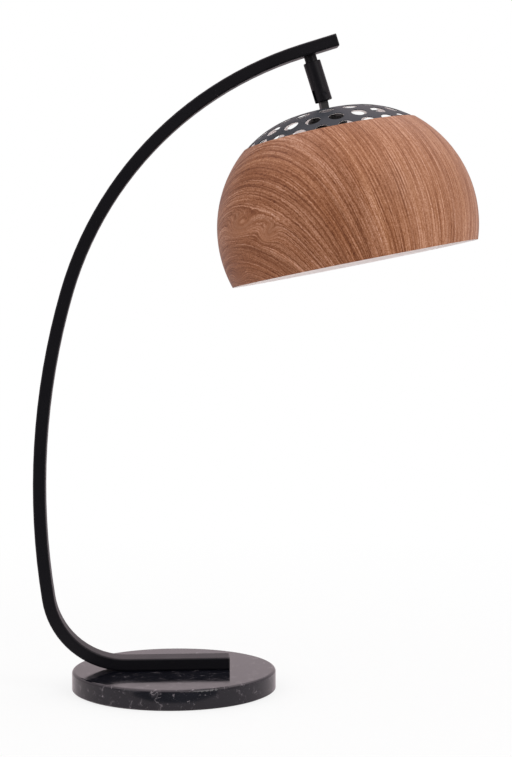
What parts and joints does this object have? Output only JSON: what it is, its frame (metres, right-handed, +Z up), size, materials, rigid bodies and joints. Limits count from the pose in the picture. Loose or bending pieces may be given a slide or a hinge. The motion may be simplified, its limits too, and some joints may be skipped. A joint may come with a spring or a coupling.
{
  "type": "table lamp",
  "caption": "Table lamp: a dome shade with a perforated top swivels and tilts under a flat tube bent into an open arc, on a round stone base.",
  "frame": {"origin": "centre of the round base's underside", "axes": "+Z up, +X along the tube's foot towards the shade's side, the tube bends in the plane y = 0"},
  "size_m": [0.4343, 0.255, 0.6389],
  "materials": {
    "pad": "matt",
    "stone": "polished black marble with pale veins",
    "black_coat": "satin black powder coat",
    "black_plug": "satin black plastic",
    "black_rubber": "matt",
    "zinc": "zinc plated",
    "black_steel": "blackened",
    "nylon": "black nylon",
    "gunmetal": "satin gunmetal lacquer outside, white inside",
    "walnut_print": "satin walnut grain print outside, white inside",
    "phenolic": "black moulding",
    "ceramic": "white",
    "brass": "plain",
    "nickel": "plain",
    "bulb_glass": "frosted white",
    "black_glass": "opaque black insulator",
    "solder": "plain"
  },
  "bodies": {
    "stand": {"base_pad": "pad", "marble_base": "stone", "cord_gland": "black_rubber", "foot_washers": "zinc", "foot_screws": "zinc", "foot_insert": "zinc", "arc_tube": "black_coat", "foot_plug": "black_plug", "top_plug": "black_plug", "tube_nut": "zinc", "swivel_neck": "black_coat"},
    "swivel": {"friction_washer": "nylon", "swivel_barrel": "black_coat", "stop_screw": "black_steel", "tilt_pin": "black_steel", "tilt_washers": "nylon"},
    "head": {"tilt_tongue": "black_coat", "perforated_cap": "gunmetal", "wood_shade": "walnut_print", "seat_washer": "zinc", "stud_nut": "zinc", "holder_cap": "phenolic", "holder_skirt": "phenolic", "contact_block": "ceramic", "terminal_screws": "brass", "screw_shell": "brass", "centre_contact": "brass", "bulb_contact": "solder", "bulb_insulator": "black_glass", "bulb_sleeve": "nickel", "bulb_glass": "bulb_glass"}
  },
  "joints": [
    {"name": "shade_swivel", "type": "hinge", "parent": "stand", "child": "swivel", "pos_m": [0.14581, 0, 0.58088], "axis": [-0.299, 0, 0.9542], "range_deg": [-174.6, 145.4]},
    {"name": "shade_tilt", "type": "hinge", "parent": "swivel", "child": "head", "pos_m": [0.14581, 0, 0.58088], "axis": [-0.2405, 0.9677, -0.0754], "range_deg": [-6.6, 28.4]}
  ]
}
